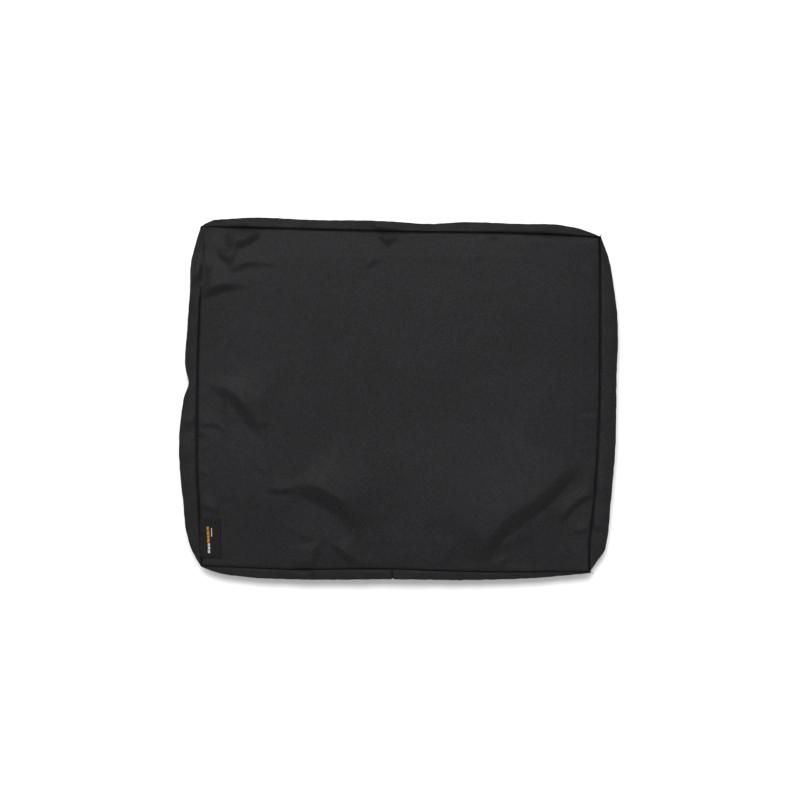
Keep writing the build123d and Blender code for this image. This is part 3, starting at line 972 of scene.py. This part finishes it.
blackWeave = wovenMaterial("blackWeave", (0.0114, 0.0112, 0.0124), (0.0138, 0.0136, 0.0150),
                           pitch=0.00096, depth=0.00008, rough=0.52, specular=0.085, lint=0.06,
                           yarnSheenAndTone=2.0)
tapeWeave = wovenMaterial("tapeWeave", (0.010, 0.010, 0.011), (0.013, 0.013, 0.014), pitch=0.0004,
                          depth=0.0001, rough=0.75, specular=0.15, sheen=0.03, useObject=True)
blackThread = wovenMaterial("blackThread", (0.010, 0.010, 0.011), (0.014, 0.014, 0.015),
                            pitch=0.0002, depth=0.00004, rough=0.5, specular=0.15, useObject=True)
labelWeave = wovenMaterial("labelWeave", (0.0085, 0.0085, 0.0095), (0.0105, 0.0105, 0.0115),
                           pitch=0.00035, depth=0.00006, rough=0.6, specular=0.08, yarnSheenAndTone=0.6)
paleYarn = wovenMaterial("paleYarn", (0.46, 0.46, 0.45), (0.60, 0.60, 0.58), pitch=0.0003,
                         depth=0.00004, rough=0.6, specular=0.2, useObject=True)
amberYarn = wovenMaterial("amberYarn", (0.42, 0.19, 0.015), (0.55, 0.26, 0.02), pitch=0.0003,
                          depth=0.00004, rough=0.6, specular=0.2, useObject=True)
foamFirm = grainyMaterial("foamFirm", (0.05, 0.06, 0.09), 900.0, 0.0002, 0.85, specular=0.2)
foamSoft = grainyMaterial("foamSoft", (0.12, 0.13, 0.14), 600.0, 0.0004, 0.9, specular=0.2)
plateShell = grainyMaterial("plateShell", (0.03, 0.03, 0.03), 700.0, 0.00006, 0.5)
coilLoop = grainyMaterial("coilLoop", (0.012, 0.012, 0.013), 900.0, 0.00003, 0.42)
blackLacquer = grainyMaterial("blackLacquer", (0.02, 0.02, 0.021), 500.0, 0.00003, 0.38, coat=0.2)
pinWire = grainyMaterial("pinWire", (0.40, 0.40, 0.41), 800.0, 0.00002, 0.35, metallic=1.0)

for obj in (frontCloth, backCloth, leftGusset, rightGusset, topGusset, bottomLeftGusset,
            bottomRightGusset):
    obj.data.materials.append(blackWeave)
for obj in (frontAllowance, backAllowance):
    obj.data.materials.append(tapeWeave)

cadFinishes = {
    tapeWeave: ["zip_tape_upper", "zip_tape_lower"],
    blackLacquer: ["zip_top_stops", "zip_bottom_stop", "zip_slider", "zip_pull"],
    pinWire: ["zip_pull_pin"],
    foamFirm: ["impact_foam_inner", "impact_foam_outer"],
    foamSoft: ["comfort_foam"],
    plateShell: ["spreader_plate"],
}
for finish, nodes in cadFinishes.items():
    for node in nodes:
        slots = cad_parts[node].data.materials
        slots.clear()
        slots.append(finish)


# rows of stitches and of zip coil loops

def newRowTree(name, **sizes):
    return newTree(name, "Geometry", {"Path": "Geometry", **sizes, "Turn": 0.0, "Seed": 1,
                                      "Finish": "Material"}, {"Rows": "Geometry"})


def spreadAlong(add, given, shape):
    # Sets one shape every pitch along the path, turned with it and a little uneven.
    curve = add("GeometryNodeMeshToCurve", {0: given["Path"]})
    evenly = add("GeometryNodeResampleCurve", {"Curve": curve.outputs[0], "Length": given["Pitch"]},
                 mode="LENGTH")
    tangent = add("GeometryNodeInputTangent")
    facing = add("FunctionNodeAlignRotationToVector", {"Vector": tangent.outputs[0]}, axis="X")
    calc = mathTool(add)
    chance = add("FunctionNodeRandomValue", {2: calc("MULTIPLY", given["Unevenness"], -1.0),
                                             3: given["Unevenness"], "Seed": given["Seed"]},
                 data_type="FLOAT")
    spin = add("ShaderNodeCombineXYZ", {2: calc("ADD", chance.outputs[1], given["Turn"])})
    turned = add("FunctionNodeRotateRotation", {0: facing.outputs[0], 1: spin.outputs[0]},
                 rotation_space="LOCAL")
    soft = add("GeometryNodeSetShadeSmooth", {0: shape.outputs[0]})
    spread = add("GeometryNodeInstanceOnPoints", {"Points": evenly.outputs[0],
                                                  "Instance": soft.outputs[0],
                                                  "Rotation": turned.outputs[0]})
    whole = add("GeometryNodeRealizeInstances", {0: spread.outputs[0]})
    finish = add("GeometryNodeSetMaterial", {0: whole.outputs[0], "Material": given["Finish"]})
    add("NodeGroupOutput", {"Rows": finish.outputs[0]})


def makeStitchTree():
    tree, add, given = newRowTree("stitchRow", Pitch=0.0028, Length=0.0022, Thread=0.0005,
                                  Unevenness=0.06)
    ball = add("GeometryNodeMeshUVSphere", {"Segments": 8, "Rings": 5, "Radius": 0.5})
    size = add("ShaderNodeCombineXYZ", {0: given["Length"], 1: given["Thread"], 2: given["Thread"]})
    spreadAlong(add, given, add("GeometryNodeTransform", {0: ball.outputs[0],
                                                          "Scale": size.outputs[0]}))
    return tree


def makeCoilTree():
    tree, add, given = newRowTree("coilRow", Pitch=0.0012, Loop=0.0008, Wire=0.00024,
                                  Unevenness=0.02)
    loop = add("GeometryNodeCurvePrimitiveCircle", {"Resolution": 10, "Radius": given["Loop"]})
    wire = add("GeometryNodeCurvePrimitiveCircle", {"Resolution": 5, "Radius": given["Wire"]})
    ring = add("GeometryNodeCurveToMesh", {0: loop.outputs[0], 1: wire.outputs[0]})
    spreadAlong(add, given, add("GeometryNodeTransform", {0: ring.outputs[0],
                                                          "Rotation": (0.0, math.pi / 2, 0.0)}))
    return tree


stitchTree, coilTree = makeStitchTree(), makeCoilTree()


def rowFrom(name, tree, paths, finish, **sizes):
    points, edges = [], []
    for path in paths:
        edges += [(len(points) + i, len(points) + i + 1) for i in range(len(path) - 1)]
        points += [tuple(place) for place in path]
    mesh = bpy.data.meshes.new(name + "_path")
    mesh.from_pydata(points, edges, [])
    obj = showObject(name, mesh)
    rows = obj.modifiers.new("rows", "NODES")
    rows.node_group = tree
    sizes["Finish"] = finish
    for socket in tree.interface.items_tree:
        if socket.in_out == "INPUT" and socket.name in sizes:
            rows[socket.identifier] = sizes[socket.name]
    result = plainMesh(obj)
    obj.modifiers.clear()
    obj.data = result
    result.name = name
    return obj


label = {
    "left": -0.1850, "right": -0.1653, "low": -0.1455, "high": -0.1090,
    "gauge": 0.0006,
    "hem": 0.0013,             # from the label's edge to its stitches
    "hemDent": 0.0003,         # how far the stitches pull it down
    "edgeDent": 0.0002,
    "markLift": 0.00018,
    # woven dashes: middle, and the lowest and highest end, with their width
    "amber": [(-0.1768, -0.1310, -0.1278, 0.0026), (-0.1768, -0.1270, -0.1248, 0.0026),
              (-0.1771, -0.1240, -0.1204, 0.0026), (-0.1774, -0.1194, -0.1168, 0.0028)],
    "pale": [(-0.1762, -0.1408, -0.1384, 0.0022), (-0.1762, -0.1374, -0.1350, 0.0026),
             (-0.1764, -0.1342, -0.1320, 0.0026)],
    "side": [(-0.1738, -0.1222, -0.1206, 0.0012), (-0.1739, -0.1200, -0.1180, 0.0012),
             (-0.1738, -0.1254, -0.1230, 0.0012)],
}


def onFront(places, lift):
    # Lays places on the finished front panel.
    table = frontPoints.reshape(-1, 3)
    laid = []
    for x, y in places:
        gap = (table[:, 0] - x) ** 2 + (table[:, 1] - y) ** 2
        nearest = np.argpartition(gap, 4)[:4]
        weight = 1 / (gap[nearest] + 1e-8)
        laid.append((x, y, float((table[nearest, 2] * weight).sum() / weight.sum()) + lift))
    return laid


def onLabel(places, lift):
    return onFront(places, label["gauge"] + lift)


def makeLabel():
    xs = np.linspace(label["left"], label["right"], 24)
    ys = np.linspace(label["high"], label["low"], 44)
    points = np.array(onFront([(x, y) for y in ys for x in xs], 0)).reshape(len(ys), len(xs), 3)
    level = points[..., 2].copy()
    level[:, 0] = level[:, 2]      # the seam's groove doesn't show through the label
    level[:, 1] = level[:, 2]
    for _ in range(6):
        level[1:-1, 1:-1] = (level[:-2, 1:-1] + level[2:, 1:-1] + level[1:-1, :-2]
                             + level[1:-1, 2:] + level[1:-1, 1:-1]) / 5
    points[..., 2] = np.maximum(level, points[..., 2]) + label["gauge"] + 0.0001
    edge = np.minimum.outer(np.minimum(ys - label["low"], label["high"] - ys),
                            label["right"] - xs)
    points[..., 2] -= label["hemDent"] * np.exp(-((edge - label["hem"]) / 0.0005) ** 2)
    points[..., 2] -= label["edgeDent"] * smooth(0.0008, 0, edge)
    obj = meshFromGrid("side_label_cloth", points, points[..., :2].copy())
    obj.data.materials.append(labelWeave)
    return thicken(obj, label["gauge"])


def makeLabelStitches():
    start, end = label["left"] + 0.001, label["right"] - label["hem"]
    top, bottom = label["high"] - label["hem"], label["low"] + label["hem"]
    corners = [(start, top), (end, top), (end, bottom), (start, bottom)]
    run = [a for pair in zip(corners, corners[1:]) for a in np.linspace(*pair, 30)[:-1]]
    return rowFrom("side_label_stitches", stitchTree, [onLabel(run + corners[-1:], 0.0002)],
                   blackThread, Pitch=0.0023, Length=0.0019, Thread=0.00045, Seed=3)


def makeDashes(name, marks, finish, seed):
    runs = [onLabel([(middle, y) for y in np.linspace(low, high, 6)], label["markLift"])
            for middle, low, high, _ in marks]
    width = sum(mark[3] for mark in marks) / len(marks)
    return rowFrom(name, stitchTree, runs, finish, Pitch=0.00034, Length=width, Thread=0.00042,
                   Turn=math.pi / 2, Seed=seed)


labelCloth = makeLabel()
labelStitches = makeLabelStitches()
amberDashes = makeDashes("label_dashes_amber", label["amber"], amberYarn, 5)
paleDashes = makeDashes("label_dashes_pale", label["pale"], paleYarn, 6)
sideDashes = makeDashes("label_dashes_side", label["side"], paleYarn, 7)
print("label made")


zipper = {
    "pitch": 0.00125,
    "loop": 0.00074,
    "wire": 0.00021,
    "meeting": 0.0003,         # half the space between the two coils
    "lean": 0.12,              # turn of each loop, in radians
    "hemRise": 0.0014,         # from the gusset's edge to its stitches
    "hemStitch": 0.0030,
    "hemEnd": 0.012,           # from the tape's end to the first stitch
    "threadSeat": 0.00022,     # how far the thread lies off the cloth
}


def makeZipCoils():
    coilLow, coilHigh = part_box("zip_coil_upper")
    zipLevel = (coilLow.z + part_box("zip_coil_lower")[1].z) / 2
    reach = zipper["loop"] + zipper["wire"]
    rise = reach + zipper["meeting"]
    rows = []
    for name, level, start in (("upper", zipLevel + rise, 0), ("lower", zipLevel - rise, 0.5)):
        first = coilLow.x + (0.5 + start) * zipper["pitch"]
        last = coilHigh.x - 0.5 * zipper["pitch"]
        path = [(x, tapeHigh.y + reach, level) for x in (first, last)]
        rows.append(rowFrom("zip_coil_loops_" + name, coilTree, [path], coilLoop, Seed=11,
                            Pitch=zipper["pitch"], Loop=zipper["loop"], Wire=zipper["wire"],
                            Turn=zipper["lean"]))
    return rows


def makeHemStitches():
    run = [(x, tapeHigh.y + clothGauge + zipper["threadSeat"], hemLevel + zipper["hemRise"])
           for x in np.linspace(tapeLow.x + zipper["hemEnd"], tapeHigh.x - zipper["hemEnd"], 60)]
    return rowFrom("zip_hem_stitches", stitchTree, [run], blackThread, Pitch=zipper["hemStitch"],
                   Length=0.0024, Thread=0.0005, Seed=12)


coilUpper, coilLower = makeZipCoils()
hemStitches = makeHemStitches()
print("zip coils and stitches made")


threadEnds = {
    "radius": 0.00022,
    "runs": [
        # upper right corner
        [(0.1832, 0.1496, 0.0170), (0.1846, 0.1511, 0.0180), (0.1851, 0.1525, 0.0178)],
        [(0.1832, 0.1496, 0.0170), (0.1838, 0.1515, 0.0182), (0.1840, 0.1528, 0.0182)],
        [(0.1832, 0.1496, 0.0170), (0.1852, 0.1503, 0.0179), (0.1864, 0.1514, 0.0176)],
        # lower right corner
        [(0.1745, -0.1578, 0.0165), (0.1752, -0.1592, 0.0168), (0.1748, -0.1606, 0.0160)],
        [(0.1748, -0.1576, 0.0165), (0.1764, -0.1586, 0.0170), (0.1772, -0.1600, 0.0164)],
    ],
}


def makeThreadEnds():
    data = bpy.data.curves.new("thread_ends", "CURVE")
    data.dimensions = "3D"
    data.bevel_depth = threadEnds["radius"]
    data.bevel_resolution = 2
    data.use_fill_caps = True
    for points in threadEnds["runs"]:
        spline = data.splines.new("NURBS")
        spline.points.add(len(points) - 1)
        for point, spot in zip(spline.points, points):
            point.co = (*spot, 1)
        spline.order_u = 3
        spline.use_endpoint_u = True
    holder = showObject("thread_ends_curve", data)
    mesh = plainMesh(holder)
    bpy.data.objects.remove(holder)
    mesh.materials.clear()
    mesh.materials.append(blackThread)
    return showObject("thread_ends", mesh)


loosePieces = makeThreadEnds()
print("thread ends made")


# each piece with the CAD node that it stands for and its material slot, and for
# each cloth its flat size, how it is held and what it rests on

covers = [
    (frontCloth, "front_panel", "cover_cloth", (0.368, 0.312), "laid",
     ["spreader_plate", "impact_foam_outer"]),
    (backCloth, "back_panel", "cover_cloth", (0.368, 0.312), "laid", ["comfort_foam"]),
    (leftGusset, "gusset_left", "cover_cloth", (0.312, 0.040), "folded", ["back_panel"]),
    (rightGusset, "gusset_right", "cover_cloth", (0.312, 0.041), "folded", ["back_panel"]),
    (topGusset, "gusset_top", "cover_cloth", (0.368, 0.026), "folded", ["zip_tape_upper"]),
    (bottomLeftGusset, "gusset_bottom_left", "cover_cloth", (0.181, 0.029), "folded",
     ["back_panel"]),
    (bottomRightGusset, "gusset_bottom_right", "cover_cloth", (0.187, 0.027), "folded",
     ["back_panel"]),
    (labelCloth, "side_label", "label_weave", (0.0197, 0.0365), "laid", ["front_panel"]),
    (frontAllowance, "front_seam_binding", "binding_tape"),
    (backAllowance, "back_seam_binding", "binding_tape"),
    (labelStitches, None, "thread"),
    (amberDashes, None, "label_mark_amber"),
    (paleDashes, None, "label_mark_pale"),
    (sideDashes, None, "label_mark_pale"),
    (coilUpper, "zip_coil_upper", "zip_coil"),
    (coilLower, "zip_coil_lower", "zip_coil"),
    (hemStitches, None, "thread"),
    (loosePieces, None, "thread"),
]
for obj, replaced, slotName, *sheet in covers:
    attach(obj, "cover")
    if replaced:
        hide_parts(replaced)
    if sheet:
        flat, held, below = sheet
        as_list(below)


studio = {
    "frameWidth": 0.736,       # what the camera takes in, across, at the pad
    "height": 2.3,
    "padMiddle": 0.018,        # level on the pad at which the frame's width counts
    "floor": 0.0003,           # from the pad's underside to the floor
    "floorSize": 16,
    "floorTone": 0.86,
    "keyPower": 920.0,
    "keySize": (5.6, 4.6),
    "keyPlace": (-0.8, 4.3, 7.7),
    "world": 0.77,
    "backdrop": 1.05,          # what the camera sees of the world
}


def makeFloor():
    bpy.ops.mesh.primitive_plane_add(size=studio["floorSize"],
                                     location=(0, 0, panelLow.z - studio["floor"]))
    floor = bpy.context.object
    floor.name = "floor"
    paint, add = newMaterial("floorPaint")
    tone = studio["floorTone"]
    surface = add("ShaderNodeBsdfPrincipled", {"Base Color": (tone, tone, tone, 1),
                                               "Roughness": 0.9, "Specular IOR Level": 0.1})
    add("ShaderNodeOutputMaterial", {"Surface": surface.outputs[0]})
    floor.data.materials.append(paint)


def makeWorld():
    world = bpy.data.worlds.new("studioWorld")
    bpy.context.scene.world = world
    world.use_nodes = True
    backdrop = world.node_tree.nodes["Background"]
    backdrop.inputs[0].default_value = (1, 1, 1, 1)
    add = nodeTool(world.node_tree)
    seen = add("ShaderNodeLightPath").outputs["Is Camera Ray"]
    level = add("ShaderNodeMapRange", {0: seen, 3: studio["world"], 4: studio["backdrop"]})
    world.node_tree.links.new(level.outputs[0], backdrop.inputs[1])


def makeKeyLight():
    data = bpy.data.lights.new("keyLight", "AREA")
    data.shape = "RECTANGLE"
    data.size, data.size_y = studio["keySize"]
    data.energy = studio["keyPower"]
    lamp = showObject("keyLight", data)
    lamp.location = studio["keyPlace"]
    lamp.rotation_euler = (-Vector(studio["keyPlace"])).to_track_quat("-Z", "Y").to_euler()


def makeCamera():
    data = bpy.data.cameras.new("camera")
    data.sensor_width = 36
    padLevel = panelHigh.z + studio["padMiddle"]
    data.lens = data.sensor_width * (studio["height"] - padLevel) / studio["frameWidth"]
    camera = showObject("camera", data)
    camera.location = (-0.0005, 0.0, studio["height"])
    bpy.context.scene.camera = camera


makeFloor()
makeWorld()
makeKeyLight()
makeCamera()
bpy.context.scene.view_settings.view_transform = "Standard"

print("scene ready")
